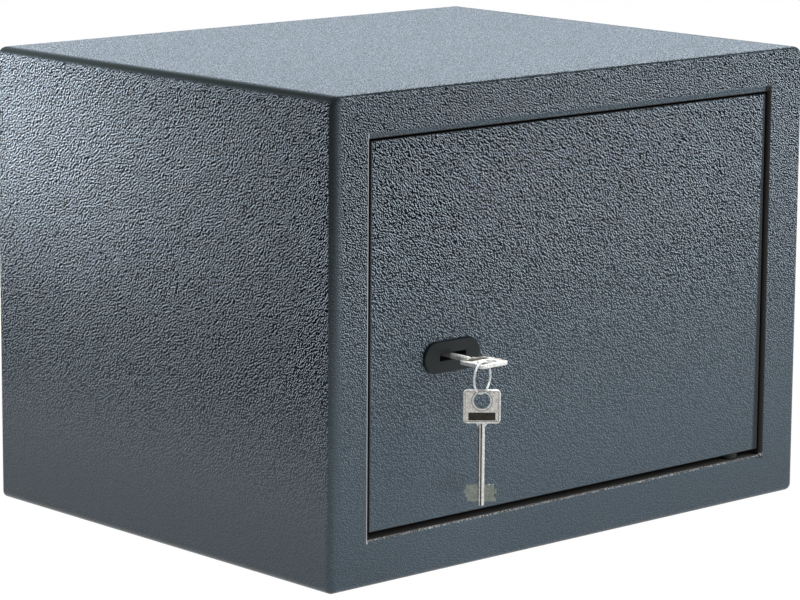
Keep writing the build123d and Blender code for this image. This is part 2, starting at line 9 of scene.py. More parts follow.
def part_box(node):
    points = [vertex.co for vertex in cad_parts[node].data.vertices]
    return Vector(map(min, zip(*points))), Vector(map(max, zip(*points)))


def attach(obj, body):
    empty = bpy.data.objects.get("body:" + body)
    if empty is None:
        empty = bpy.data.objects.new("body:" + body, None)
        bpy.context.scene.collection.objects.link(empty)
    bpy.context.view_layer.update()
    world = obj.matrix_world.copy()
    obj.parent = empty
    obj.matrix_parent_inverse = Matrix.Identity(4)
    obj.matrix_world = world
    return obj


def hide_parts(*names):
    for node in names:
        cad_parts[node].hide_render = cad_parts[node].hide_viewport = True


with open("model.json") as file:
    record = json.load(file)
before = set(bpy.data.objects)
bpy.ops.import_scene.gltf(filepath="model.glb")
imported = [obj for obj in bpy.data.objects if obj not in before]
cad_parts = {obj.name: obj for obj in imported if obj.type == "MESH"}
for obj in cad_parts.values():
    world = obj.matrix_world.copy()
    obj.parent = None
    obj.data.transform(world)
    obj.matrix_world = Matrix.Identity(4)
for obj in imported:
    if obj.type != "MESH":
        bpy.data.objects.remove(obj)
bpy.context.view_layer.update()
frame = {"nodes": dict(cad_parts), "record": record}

# A small steel safe with an inset door and two double-bit keys. Metres, +Z up, the door faces -Y.

# ---------------------------------------------------------------- sizes taken from the frame
wrap_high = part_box("body_wrap")[1]
rim_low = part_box("front_frame")[0]
door_low, door_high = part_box("door_panel")
ring_low, ring_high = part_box("split_ring")
spare_low, spare_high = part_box("spare_key")
inserted_low, inserted_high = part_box("inserted_key")

cabinet_half_w = wrap_high.x
cabinet_top = wrap_high.z
front_y = rim_low.y
side_gap = 0.0015
top_gap = 0.0008
bottom_gap = 0.0044
opening_left = door_low.x - side_gap
opening_right = door_high.x + side_gap
opening_bottom = door_low.z - bottom_gap
opening_top = door_high.z + top_gap

# ---------------------------------------------------------------- the split ring, of flattened wire
ring_yaw = math.radians(17.0)
ring_turn_pitch = 0.0007
ring_wire_radial = 0.00050
ring_wire_axial = 0.00033
ring_jog = math.radians(50.0)
ring_jog_place = math.radians(-55.0)
ring_steps = 220
ring_sides = 14

# ---------------------------------------------------------------- the keys, from the bow's hole
spare_yaw = math.radians(-42.0)
bow_hole_from_top = 0.0072
bow_foot = -0.0148
bow_middle = -0.0038
bow_field_half_w = 0.0107
bow_field_half_h = 0.0097
bow_rim_r = 0.0068
bow_recess_half_w = 0.0087
bow_recess_half_h = 0.0026
bow_recess_middle = -0.0103
border_lip_w = 0.0004
rim_lip_w = 0.0006
shank_reach = 0.0021
shank_groove = -0.0003
shank_groove_half_w = 0.0005
# the shank's two sides that take painted shade, the second only a little
shank_shaded_side = -0.0016
shank_far_side = 0.0010
bit_head = -0.0553
bit_wing_root = 0.0020
zone_edge = 0.0001
lip_share = 0.75
far_side_share = 0.2
recess_roughness = 0.6

# ---------------------------------------------------------------- the coat's pebbles, larger on the sides
pebble_size = 0.00083
pebble_growth = 0.00006
pebble_depth = 0.00035
pebble_stretch = 0.36
pebble_step = 0.6
pebble_foot = 0.28
pebble_peak = 0.72
# painted glints: the slope at which they start, and the one from which they are full
glint_starts = 0.064
glint_full = 0.100
diagonal = 0.707
# the coat lies smooth at the cabinet's foot and stands up fully from this height, lower on the sides
grain_low_z = 0.020
grain_full_z = 0.280
grain_low_share = 0.04
side_grain_drop = 0.110
# where it is smoother, the painted shade of its hollows gives way to the plain coat, and its painted glints
# are fewer and fainter; low down they are fainter too
hollow_fill = 0.05, 0.85
glint_fade = 0.20, 1.0
glint_thinning = 0.024
glint_smooth_share = 0.20
glint_foot_z = 0.05
glint_foot_share = 0.50
fold_smoothness = 0.93
# how far a face turns before it counts as facing another way
face_turn = 0.6, 0.8
front_turn = 0.80, 0.97

# ---------------------------------------------------------------- where the coat takes painted shade or painted highlights
# a band is whole up to its first reach and gone from its second
left_fold_band = 0.0042, 0.0078
right_rim_band = 0.0028, 0.0040
ledge_band = 0.010, 0.018
front_edge_band = 0.0012, 0.0019
teeth_band = 0.0009, 0.0015
left_line_band = 0.0005, 0.0009
left_line_from_opening = 0.0010
left_line_share = 0.60
# the share of painted shade on the outer folds, at the foot and at the top
fold_shade_foot = 0.15
fold_shade_top = 0.85
# the door's shaded band at the right narrows upward
door_band_foot_w = 0.0055
door_band_taper = 0.0030
door_band_share = 0.8
thin_dullness = 0.75

# ---------------------------------------------------------------- the studio
# the way from the camera to the safe, seen from above
view_yaw = math.radians(42.367)
view_pitch = math.radians(10.625)
view_roll = math.radians(0.381)
view_way = (math.sin(view_yaw), math.cos(view_yaw), 0.0)
camera_place = Vector((-1.6818, -1.8418, 0.6082))
camera_lens = 161.73
camera_film_w = 36.0
floor_half_w = 6.0
floor_glow = 1.05
floor_glow_share = 0.94


# ================================================================ node helpers
def feed(tree, socket, value):
    """Link a socket to another one, or set its own value."""
    if isinstance(value, bpy.types.NodeSocket):
        tree.links.new(value, socket)
    else:
        socket.default_value = value


def add(tree, kind, inputs=None, **settings):
    """A new node with its settings made and its inputs fed, by name or by number."""
    made = tree.nodes.new(kind)
    for name, value in settings.items():
        setattr(made, name, value)
    for name, value in (inputs or {}).items():
        feed(tree, made.inputs[name], value)
    return made


def math_node(tree, operation, *values):
    """The result of a math node."""
    made = add(tree, "ShaderNodeMath", dict(enumerate(values)), operation=operation)
    return made.outputs[0]


def product(tree, *values):
    """The product of masks."""
    made = values[0]
    for value in values[1:]:
        made = math_node(tree, "MULTIPLY", made, value)
    return made


def highest(tree, *values):
    """The largest of masks."""
    made = values[0]
    for value in values[1:]:
        made = math_node(tree, "MAXIMUM", made, value)
    return made


def opposite(tree, value):
    """One less a mask."""
    return math_node(tree, "SUBTRACT", 1.0, value)


def distance(tree, value, limit):
    """How far a value lies from a limit, either way."""
    return math_node(tree, "ABSOLUTE", math_node(tree, "SUBTRACT", value, limit))


def ramp(tree, value, start, end, low=0.0, high=1.0, kind="SMOOTHSTEP"):
    """Low up to start and high from end on, with a smooth step between them, or a LINEAR one."""
    limits = {"Value": value, "From Min": start, "From Max": end, "To Min": low, "To Max": high}
    return add(tree, "ShaderNodeMapRange", limits, interpolation_type=kind).outputs["Result"]


def fade(tree, value, start, end):
    """A step that is 1 up to start and 0 from end on."""
    return ramp(tree, value, start, end, 1.0, 0.0)


def blend_colours(tree, share, first, second):
    """A colour between first and second."""
    made = add(tree, "ShaderNodeMix", {0: share, 6: first, 7: second}, data_type="RGBA")
    return made.outputs[2]


def blend_vectors(tree, share, first, second):
    """A vector between first and second."""
    made = add(tree, "ShaderNodeMix", {0: share, 4: first, 5: second}, data_type="VECTOR")
    return made.outputs[1]


def vector_node(tree, operation, first, second):
    """The vector that a vector math node gives."""
    made = add(tree, "ShaderNodeVectorMath", {0: first, 1: second}, operation=operation)
    return made.outputs["Vector"]


def scaled(tree, vector, scale):
    """A vector times a number."""
    made = add(tree, "ShaderNodeVectorMath", {0: vector, "Scale": scale}, operation="SCALE")
    return made.outputs["Vector"]


def reach_along(tree, vector, way):
    """How far a vector reaches along a way."""
    made = add(tree, "ShaderNodeVectorMath", {0: vector, 1: way}, operation="DOT_PRODUCT")
    return made.outputs["Value"]


def parts_of(tree, vector):
    """The X, Y and Z of a vector."""
    return add(tree, "ShaderNodeSeparateXYZ", {0: vector}).outputs


def in_sizes(tree, vector, size):
    """A place counted in sizes of a grain."""
    return scaled(tree, vector, math_node(tree, "DIVIDE", 1.0, size))


def noise(tree, vector, detail, roughness):
    """Noise of about one wave to a unit."""
    settings = {"Vector": vector, "Scale": 1.0, "Detail": detail, "Roughness": roughness}
    return add(tree, "ShaderNodeTexNoise", settings).outputs["Fac"]


def mix_shaders(tree, share, first, second):
    """A shader between first and second."""
    return add(tree, "ShaderNodeMixShader", {0: share, 1: first, 2: second}).outputs[0]


FLOAT = "NodeSocketFloat"
VECTOR = "NodeSocketVector"
COLOUR = "NodeSocketColor"


def new_group(name, inputs, outputs):
    """An empty shader group with its sockets: inputs as (name, type, value), outputs as (name, type)."""
    group = bpy.data.node_groups.new(name, "ShaderNodeTree")
    for label, kind, value in inputs:
        socket = group.interface.new_socket(name=label, in_out="INPUT", socket_type=kind)
        if value is not None:
            socket.default_value = value
    for label, kind in outputs:
        group.interface.new_socket(name=label, in_out="OUTPUT", socket_type=kind)
    return group, group.nodes.new("NodeGroupInput").outputs, group.nodes.new("NodeGroupOutput").inputs


def put_out(group, result, values):
    """Link a group's results, by name, to its outputs."""
    for name, value in values.items():
        group.links.new(value, result[name])


def use(tree, group, **inputs):
    """The outputs of a group placed in a tree; its sockets' spaces are written as underscores."""
    made = tree.nodes.new("ShaderNodeGroup")
    made.node_tree = group
    for name, value in inputs.items():
        feed(tree, made.inputs[name.replace("_", " ")], value)
    return made.outputs


# ================================================================ shared effects
def make_pebble_grain():
    """The coat's slanting pebbles: their height, and a mask of the slopes that rise across them, which take
    painted glints.
    """
    group, given, result = new_group(
        "pebble grain",
        [
            ("Vector", VECTOR, None),
            ("Size", FLOAT, pebble_size),
            ("Slant", VECTOR, (0.0, -diagonal, diagonal)),
            ("Across", VECTOR, (0.0, diagonal, diagonal)),
            ("Stretch", FLOAT, pebble_stretch),
            ("Smooth", FLOAT, 0.0),
        ],
        [("Height", FLOAT), ("Glint", FLOAT)],
    )
    along = reach_along(group, given["Vector"], given["Slant"])
    pulled = math_node(group, "MULTIPLY", along, math_node(group, "MULTIPLY", given["Stretch"], -1.0))
    slanted = vector_node(group, "ADD", given["Vector"], scaled(group, given["Slant"], pulled))
    place = in_sizes(group, slanted, given["Size"])
    beyond = vector_node(group, "ADD", place, scaled(group, given["Across"], pebble_step))
    here = noise(group, place, detail=0.4, roughness=0.5)
    there = noise(group, beyond, detail=0.4, roughness=0.5)
    # the rise of the height towards Across picks the slopes that take painted glints, as if lit from that
    # way
    rising = math_node(group, "SUBTRACT", here, there)
    sparse = ramp(group, given["Smooth"], 0.0, 0.5)
    slope = math_node(group, "MULTIPLY_ADD", sparse, -glint_thinning, rising)
    pebble = ramp(group, here, pebble_foot, pebble_peak)
    results = {
        "Height": product(group, pebble, opposite(group, given["Smooth"])),
        "Glint": ramp(group, slope, glint_starts, glint_full),
    }
    put_out(group, result, results)
    return group


def make_speckle():
    """Fine uneven speckle between 0 and 1."""
    group, given, result = new_group(
        "speckle",
        [("Vector", VECTOR, None), ("Size", FLOAT, 0.001), ("Contrast", FLOAT, 0.5)],
        [("Value", FLOAT)],
    )
    place = in_sizes(group, given["Vector"], given["Size"])
    grain = noise(group, place, detail=3.0, roughness=0.6)
    spread = product(group, math_node(group, "SUBTRACT", grain, 0.5), given["Contrast"])
    lifted = add(group, "ShaderNodeMath", {0: spread, 1: 0.5}, operation="ADD", use_clamp=True)
    put_out(group, result, {"Value": lifted.outputs[0]})
    return group


def make_brushing():
    """Fine parallel lines along one axis, for drawn and brushed metal."""
    group, given, result = new_group(
        "brushing",
        [("Vector", VECTOR, None), ("Stretch", VECTOR, (1.0, 1.0, 1.0)), ("Size", FLOAT, 0.001)],
        [("Lines", FLOAT)],
    )
    along = vector_node(group, "MULTIPLY", given["Vector"], given["Stretch"])
    lines = noise(group, in_sizes(group, along, given["Size"]), detail=2.0, roughness=0.7)
    put_out(group, result, {"Lines": ramp(group, lines, 0.3, 0.7)})
    return group


def make_rim_bands():
    """A mask that is 1 along the four edges of an upright rectangle, near its front plane."""
    group, given, result = new_group(
        "rim bands",
        [
            ("Vector", VECTOR, None),
            ("Left", FLOAT, 0.0),
            ("Right", FLOAT, 0.0),
            ("Bottom", FLOAT, 0.0),
            ("Top", FLOAT, 0.0),
            ("Left Band", FLOAT, 0.002),
            ("Right Band", FLOAT, 0.002),
            ("Bottom Band", FLOAT, 0.002),
            ("Top Band", FLOAT, 0.002),
            ("Front", FLOAT, 0.0),
            ("Depth", FLOAT, 0.004),
        ],
        [("Mask", FLOAT)],
    )
    x, y, z = parts_of(group, given["Vector"])

    def past(far, near, band):
        """How far a place lies past a limit, in bands."""
        return math_node(group, "DIVIDE", math_node(group, "SUBTRACT", far, near), given[band])

    sideways = highest(
        group, past(x, given["Right"], "Right Band"), past(given["Left"], x, "Left Band")
    )
    upward = highest(
        group, past(z, given["Top"], "Top Band"), past(given["Bottom"], z, "Bottom Band")
    )
    from_edge = math_node(group, "ABSOLUTE", highest(group, sideways, upward))
    edge = fade(group, from_edge, 0.7, 1.3)
    near_front = fade(group, past(y, given["Front"], "Depth"), 0.8, 1.2)
    put_out(group, result, {"Mask": product(group, edge, near_front)})
    return group


def make_long_folds():
    """A mask that is 1 along the two long top edges of a box that is centred on X."""
    group, given, result = new_group(
        "long folds",
        [
            ("Vector", VECTOR, None),
            ("Side", FLOAT, 0.0),
            ("Top", FLOAT, 0.0),
            ("Reach", FLOAT, 0.008),
            ("Drop", FLOAT, 0.004),
        ],
        [("Mask", FLOAT)],
    )
    place = parts_of(group, given["Vector"])
    inward = math_node(group, "SUBTRACT", given["Side"], math_node(group, "ABSOLUTE", place["X"]))
    down = math_node(group, "SUBTRACT", given["Top"], place["Z"])
    near_side = fade(group, math_node(group, "DIVIDE", inward, given["Reach"]), 0.4, 1.6)
    near_top = fade(group, math_node(group, "DIVIDE", down, given["Drop"]), 0.5, 1.5)
    put_out(group, result, {"Mask": product(group, near_side, near_top)})
    return group


def make_key_zones():
    """Masks of a double-bit key: the bow's field, lips and recess, the shank's groove and sides that take
    painted shade, the bit's wings.
    """
    group, given, result = new_group(
        "key zones",
        [
            ("Vector", VECTOR, None),
            ("Hole", VECTOR, (0.0, 0.0, 0.0)),
            ("Across", VECTOR, (1.0, 0.0, 0.0)),
            ("Upward", VECTOR, (0.0, 0.0, 1.0)),
        ],
        [
            ("Field", FLOAT),
            ("Lip", FLOAT),
            ("Recess", FLOAT),
            ("Shank Shade", FLOAT),
            ("Far Side", FLOAT),
            ("Wings", FLOAT),
        ],
    )

    def above(value, limit):
        """A sharp mask of what lies above a limit."""
        return ramp(group, value, limit - zone_edge, limit + zone_edge)

    def below(value, limit):
        """A sharp mask of what lies below a limit."""
        return fade(group, value, limit - zone_edge, limit + zone_edge)

    from_hole = vector_node(group, "SUBTRACT", given["Vector"], given["Hole"])
    sideways = reach_along(group, from_hole, given["Across"])
    rise = reach_along(group, from_hole, given["Upward"])
    reach = math_node(group, "ABSOLUTE", sideways)
    past_field = highest(
        group,
        math_node(group, "SUBTRACT", reach, bow_field_half_w),
        math_node(group, "SUBTRACT", distance(group, rise, bow_middle), bow_field_half_h),
    )
    squares = math_node(group, "MULTIPLY_ADD", reach, reach, math_node(group, "MULTIPLY", rise, rise))
    radius = math_node(group, "SQRT", squares)
    in_bow = above(rise, bow_foot)
    raised = highest(group, above(past_field, 0.0), below(radius, bow_rim_r))
    border_lip = product(group, above(past_field, -zone_edge), below(past_field, border_lip_w))
    rim_lip = product(group, above(radius, bow_rim_r - rim_lip_w), below(radius, bow_rim_r + zone_edge))
    from_recess = distance(group, rise, bow_recess_middle)
    shank = opposite(group, in_bow)
    # painted shade in the shank's groove and along one side
    groove = below(distance(group, sideways, shank_groove), shank_groove_half_w)
    shaded_side = product(group, below(sideways, shank_shaded_side), below(reach, shank_reach))
    masks = {
        "Field": product(group, in_bow, opposite(group, raised)),
        "Lip": product(group, in_bow, highest(group, border_lip, rim_lip)),
        "Recess": product(group, below(reach, bow_recess_half_w), below(from_recess, bow_recess_half_h)),
        "Shank Shade": product(group, shank, highest(group, groove, shaded_side)),
        "Far Side": product(group, shank, above(sideways, shank_far_side)),
        "Wings": product(group, below(rise, bit_head), above(reach, bit_wing_root)),
    }
    put_out(group, result, masks)
    return group


pebble_grain = make_pebble_grain()
speckle = make_speckle()
brushing = make_brushing()
rim_bands = make_rim_bands()
long_folds = make_long_folds()
key_zones = make_key_zones()


# ================================================================ shared finishes
# painted shade in the hollows between the pebbles and painted glints on their slopes; painted shade on the
# folds and in the opening, painted light on the ledge below the door, painted highlights along the
# opening's edges
coat_hollow_shade = (0.006, 0.009, 0.012, 1.0)
coat_glint = (0.70, 0.82, 0.93, 1.0)
coat_smooth = (0.0355, 0.0643, 0.0893, 1.0)
coat_fold_shade = (0.034, 0.044, 0.042, 1.0)
coat_shaded = (0.025, 0.023, 0.022, 1.0)
coat_ledge_light = (0.140, 0.136, 0.132, 1.0)
coat_edge_highlight = (0.90, 0.92, 0.93, 1.0)


def make_powder_coat():
    """Dark blue-grey pebbled coat with painted glints, and painted shade in its hollows: smooth on folds,
    darkened with painted shade on the given bands, which also lose gloss, and pale with a painted highlight
    along the given edges.
    """
    group, given, result = new_group(
        "powder coat",
        [
            ("Vector", VECTOR, None),
            ("Facing", VECTOR, None),
            ("Folds", FLOAT, 0.0),
            ("Thin", FLOAT, 0.0),
            ("Thin Colour", COLOUR, coat_shaded),
            ("Rubbed", FLOAT, 0.0),
        ],
        [("Colour", COLOUR), ("Roughness", FLOAT), ("Gloss", FLOAT), ("Height", FLOAT)],
    )
    place = given["Vector"]
    shading_bands = given["Thin"]
    facing = parts_of(group, given["Facing"])
    on_side = ramp(group, math_node(group, "ABSOLUTE", facing["X"]), *face_turn)
    upright = fade(group, math_node(group, "ABSOLUTE", facing["Z"]), *face_turn)

    # how much of the grain stands up here
    height = parts_of(group, place)["Z"]
    full_z = math_node(group, "MULTIPLY_ADD", on_side, -side_grain_drop, grain_full_z)
    rise = ramp(group, height, grain_low_z, full_z, grain_low_share, kind="LINEAR")
    standing = product(group, rise, opposite(group, product(group, given["Folds"], fold_smoothness)))
    smooth = opposite(group, standing)

    grain = use(
        group,
        pebble_grain,
        Vector=place,
        Size=math_node(group, "MULTIPLY_ADD", on_side, pebble_growth, pebble_size),
        Slant=blend_vectors(group, on_side, (-diagonal, 0.0, diagonal), (0.0, -diagonal, diagonal)),
        Across=blend_vectors(group, on_side, (diagonal, 0.0, diagonal), (0.0, diagonal, diagonal)),
        Smooth=smooth,
    )
    # painted shade in the hollows and painted glints on the slopes, both giving way where the coat is
    # smoother, the glints fainter low down
    filled = ramp(group, smooth, *hollow_fill)
    glint_rise = ramp(group, height, glint_foot_z, grain_full_z, glint_foot_share, 1.0)
    glint_shown = product(group, glint_rise, ramp(group, smooth, *glint_fade, 1.0, glint_smooth_share))
    shaded_hollows = blend_colours(group, filled, coat_hollow_shade, coat_smooth)
    pebbled = blend_colours(group, product(group, grain["Glint"], glint_shown), shaded_hollows, coat_glint)
    # painted shade on the given bands, and painted highlights along the given edges
    with_shade = blend_colours(group, shading_bands, pebbled, given["Thin Colour"])
    colour = blend_colours(group, given["Rubbed"], with_shade, coat_edge_highlight)

    # the hollows between the pebbles don't shine, and the bands with painted shade little
    sunk = product(group, opposite(group, grain["Glint"]), opposite(group, filled), upright)
    dull = highest(group, sunk, product(group, shading_bands, thin_dullness))
    mottle = use(group, speckle, Vector=place, Size=0.03, Contrast=1.0)["Value"]
    results = {
        "Colour": colour,
        "Roughness": ramp(group, mottle, 0.0, 1.0, 0.22, 0.34),
        "Gloss": opposite(group, dull),
        "Height": grain["Height"],
    }
    put_out(group, result, results)
    return group


# rims and shank: the plating's pale colour with a painted highlight; the field: satin; the shank's far
# side, as painted shade, and the bit's wings: a dimmer grey; the recess and the shank's painted shade:
# dark; the lips: painted shade
nickel_pale_highlit = (0.90, 0.89, 0.87, 1.0), (1.0, 1.0, 0.99, 1.0)
nickel_satin = (0.58, 0.56, 0.52, 1.0), (1.0, 0.97, 0.92, 1.0)
nickel_dim_grey = (0.16, 0.18, 0.155, 1.0), (0.32, 0.355, 0.32, 1.0)
nickel_dark = (0.012, 0.010, 0.008, 1.0), (0.090, 0.080, 0.060, 1.0)
nickel_lip_shade = (0.14, 0.13, 0.11, 1.0)


def make_nickel_plate():
    """A key's plate: pale rims with a painted highlight round a satin field, painted shade along the lips,
    a dark recess, painted shade along the shank, and darker bit wings.
    """
    group, given, result = new_group(
        "nickel plate",
        [
            ("Vector", VECTOR, None),
            ("Hole", VECTOR, None),
            ("Across", VECTOR, None),
            ("Upward", VECTOR, None),
        ],
        [("Colour", COLOUR), ("Roughness", FLOAT), ("Height", FLOAT)],
    )
    place = given["Vector"]
    zone = use(
        group,
        key_zones,
        Vector=place,
        Hole=given["Hole"],
        Across=given["Across"],
        Upward=given["Upward"],
    )
    grain = use(group, speckle, Vector=place, Size=0.0009, Contrast=2.4)["Value"]
    cloud = use(group, speckle, Vector=place, Size=0.0040, Contrast=2.6)["Value"]
    mottle = math_node(group, "MULTIPLY_ADD", grain, 0.5, product(group, cloud, 0.5))
    dim_grey = blend_colours(group, mottle, *nickel_dim_grey)
    dark = blend_colours(group, mottle, *nickel_dark)
    # the rims and the shank: the plating's pale colour with a painted highlight
    colour = blend_colours(group, grain, *nickel_pale_highlit)
    colour = blend_colours(group, zone["Field"], colour, blend_colours(group, mottle, *nickel_satin))
    # painted shade along the lips and on the shank's far side, darker bit wings, a dark recess, and painted
    # shade in the shank's groove and on its other side
    colour = blend_colours(group, product(group, zone["Lip"], lip_share), colour, nickel_lip_shade)
    colour = blend_colours(group, product(group, zone["Far Side"], far_side_share), colour, dim_grey)
    colour = blend_colours(group, zone["Wings"], colour, dim_grey)
    colour = blend_colours(group, highest(group, zone["Recess"], zone["Shank Shade"]), colour, dark)
    plain_rough = ramp(group, mottle, 0.0, 1.0, 0.20, 0.36)
    recess_rough = product(group, zone["Recess"], recess_roughness)
    results = {
        "Colour": colour,
        "Roughness": highest(group, plain_rough, recess_rough),
        "Height": mottle,
    }
    put_out(group, result, results)
    return group


def make_drawn_metal():
    """A bare or plated metal with fine lines along its work and faint stains."""
    group, given, result = new_group(
        "drawn metal",
        [
            ("Vector", VECTOR, None),
            ("Stretch", VECTOR, (1.0, 1.0, 1.0)),
            ("Size", FLOAT, 0.001),
            ("Dark", COLOUR, None),
            ("Light", COLOUR, None),
            ("Smoothest", FLOAT, 0.3),
            ("Roughest", FLOAT, 0.5),
        ],
        [("Colour", COLOUR), ("Roughness", FLOAT), ("Height", FLOAT)],
    )
    place = given["Vector"]
    lines = use(group, brushing, Vector=place, Stretch=given["Stretch"], Size=given["Size"])["Lines"]
    stains = use(group, speckle, Vector=place, Size=0.012, Contrast=1.4)["Value"]
    mixed = math_node(group, "MULTIPLY_ADD", lines, 0.5, product(group, stains, 0.5))
    results = {
        "Colour": blend_colours(group, mixed, given["Dark"], given["Light"]),
        "Roughness": ramp(group, mixed, 0.0, 1.0, given["Smoothest"], given["Roughest"]),
        "Height": lines,
    }
    put_out(group, result, results)
    return group


powder_coat = make_powder_coat()
nickel_plate = make_nickel_plate()
drawn_metal = make_drawn_metal()


# ================================================================ materials
def new_material(name):
    """A material with its tree, its Principled shader's sockets and the object's own coordinates."""
    material = bpy.data.materials.new(name)
    material.use_nodes = True
    tree = material.node_tree
    tree.nodes.clear()
    shader = tree.nodes.new("ShaderNodeBsdfPrincipled")
    surface = tree.nodes.new("ShaderNodeOutputMaterial")
    tree.links.new(shader.outputs["BSDF"], surface.inputs["Surface"])
    spot = tree.nodes.new("ShaderNodeTexCoord").outputs
    return material, tree, shader.inputs, spot


def paint(tree, shader, colour, roughness):
    """Feed a shader's colour and roughness."""
    feed(tree, shader["Base Color"], colour)
    feed(tree, shader["Roughness"], roughness)


def bump(tree, shader, height, depth, strength=1.0):
    """Feed a height in 0..1 to the shader's normal, at a real depth."""
    settings = {"Height": height, "Distance": depth, "Strength": strength}
    normal = add(tree, "ShaderNodeBump", settings).outputs["Normal"]
    tree.links.new(normal, shader["Normal"])
    return normal


def lay_coat(tree, shader, spot, **masks):
    """Lay the powder coat on a material, with the material's own masks."""
    coat = use(tree, powder_coat, Vector=spot["Object"], Facing=spot["Normal"], **masks)
    paint(tree, shader, coat["Colour"], coat["Roughness"])
    shader["Specular IOR Level"].default_value = 0.0
    feed(tree, shader["Coat Weight"], coat["Gloss"])
    shader["Coat Roughness"].default_value = 0.27
    normal = bump(tree, shader, coat["Height"], pebble_depth)
    tree.links.new(normal, shader["Coat Normal"])


def turned_from_front(tree, facing):
    """A mask of the faces that look neither to the front nor to the back."""
    return fade(tree, math_node(tree, "ABSOLUTE", facing["Y"]), *front_turn)


def paint_edge_highlights(tree, spot, opening, inward):
    """A mask of the opening's painted highlights: uneven teeth along the lower edge, a narrow line at the
    left.
    """
    place = parts_of(tree, spot["Object"])
    near_front = fade(tree, inward, *front_edge_band)
    low_edge = fade(tree, distance(tree, place["Z"], opening_bottom), *teeth_band)
    teeth_breaks = use(tree, speckle, Vector=spot["Object"], Size=0.0010, Contrast=3.0)["Value"]
    teeth = product(tree, low_edge, ramp(tree, teeth_breaks, 0.50, 0.85, 0.02, 0.85))
    from_line = distance(tree, place["X"], opening_left - left_line_from_opening)
    left_edge = product(tree, fade(tree, from_line, *left_line_band), left_line_share)
    return product(tree, opening, near_front, highest(tree, teeth, left_edge))


def make_cabinet_coat():
    """The cabinet's coat, with its outer folds and the rim of its opening."""
    material, tree, shader, spot = new_material("cabinet_coat")
    place = parts_of(tree, spot["Object"])
    facing = parts_of(tree, spot["Normal"])
    outer = use(
        tree,
        rim_bands,
        Vector=spot["Object"],
        Left=-cabinet_half_w,
        Right=cabinet_half_w,
        Bottom=0.0,
        Top=cabinet_top,
        Left_Band=0.0090,
        Right_Band=0.0020,
        Bottom_Band=0.0020,
        Top_Band=0.0012,
        Front=front_y,
        Depth=0.0022,
    )["Mask"]
    opening = use(
        tree,
        rim_bands,
        Vector=spot["Object"],
        Left=opening_left,
        Right=opening_right,
        Bottom=opening_bottom,
        Top=opening_top,
        Left_Band=0.0018,
        Right_Band=0.0034,
        Bottom_Band=0.0022,
        Top_Band=0.0046,
        Front=front_y,
        Depth=0.0200,
    )["Mask"]
    long = use(
        tree,
        long_folds,
        Vector=spot["Object"],
        Side=cabinet_half_w,
        Top=cabinet_top,
        Reach=0.0080,
        Drop=0.0036,
    )["Mask"]

    # painted shade on the folds and on the rim of the opening, on the outer folds most of all high up;
    # these bands lose gloss too
    side_on = turned_from_front(tree, facing)
    near_left = fade(tree, math_node(tree, "ADD", place["X"], cabinet_half_w), *left_fold_band)
    high_up = ramp(tree, place["Z"], grain_low_z, grain_full_z, fold_shade_foot, fold_shade_top)
    near_right = fade(tree, distance(tree, place["X"], opening_right), *right_rim_band)
    shading_bands = highest(
        tree,
        product(tree, outer, highest(tree, side_on, near_left), high_up),
        product(tree, long, side_on),
        product(tree, opening, side_on),
        product(tree, opening, near_right),
    )

    # painted light on the ledge below the door near its front; deeper in, and on the opening's other walls,
    # painted shade
    inward = math_node(tree, "SUBTRACT", place["Y"], front_y)
    on_ledge = product(tree, ramp(tree, facing["Z"], 0.5, 0.8), fade(tree, inward, *ledge_band))
    rim_light_and_shade = blend_colours(tree, on_ledge, coat_shaded, coat_ledge_light)
    lay_coat(
        tree,
        shader,
        spot,
        Folds=highest(tree, outer, long, opening),
        Thin=shading_bands,
        Thin_Colour=blend_colours(tree, opening, coat_fold_shade, rim_light_and_shade),
        Rubbed=paint_edge_highlights(tree, spot, opening, inward),
    )
    return material


def make_door_coat():
    """The door's coat, with its rim, and a shaded band at the right that widens downward."""
    material, tree, shader, spot = new_material("door_coat")
    place = parts_of(tree, spot["Object"])
    rim = use(
        tree,
        rim_bands,
        Vector=spot["Object"],
        Left=door_low.x,
        Right=door_high.x,
        Bottom=door_low.z,
        Top=door_high.z,
        Left_Band=0.0016,
        Right_Band=0.0028,
        Bottom_Band=0.0016,
        Top_Band=0.0008,
        Front=door_low.y,
        Depth=0.0060,
    )["Mask"]
    # painted shade in a band at the door's right that widens downward, and on the door's edges in the gaps
    share = ramp(tree, place["Z"], door_low.z, door_high.z, kind="LINEAR")
    band = math_node(tree, "MULTIPLY_ADD", share, -door_band_taper, door_band_foot_w)
    from_right = math_node(tree, "SUBTRACT", door_high.x, place["X"])
    at_right = fade(tree, math_node(tree, "DIVIDE", from_right, band), 0.7, 1.2)
    side_on = turned_from_front(tree, parts_of(tree, spot["Normal"]))
    lay_coat(
        tree,
        shader,
        spot,
        Folds=highest(tree, rim, at_right),
        Thin=highest(tree, product(tree, at_right, door_band_share), product(tree, rim, side_on)),
        Thin_Colour=coat_shaded,
    )
    return material


def make_nickel(name, hole, across, upward):
    """Nickel plate on one key, whose bow's hole, breadth and length lie as given."""
    material, tree, shader, spot = new_material(name)
    plate = use(tree, nickel_plate, Vector=spot["Object"], Hole=hole, Across=across, Upward=upward)
    paint(tree, shader, plate["Colour"], plate["Roughness"])
    shader["Metallic"].default_value = 0.40
    bump(tree, shader, plate["Height"], 0.00006, 0.6)
    return material


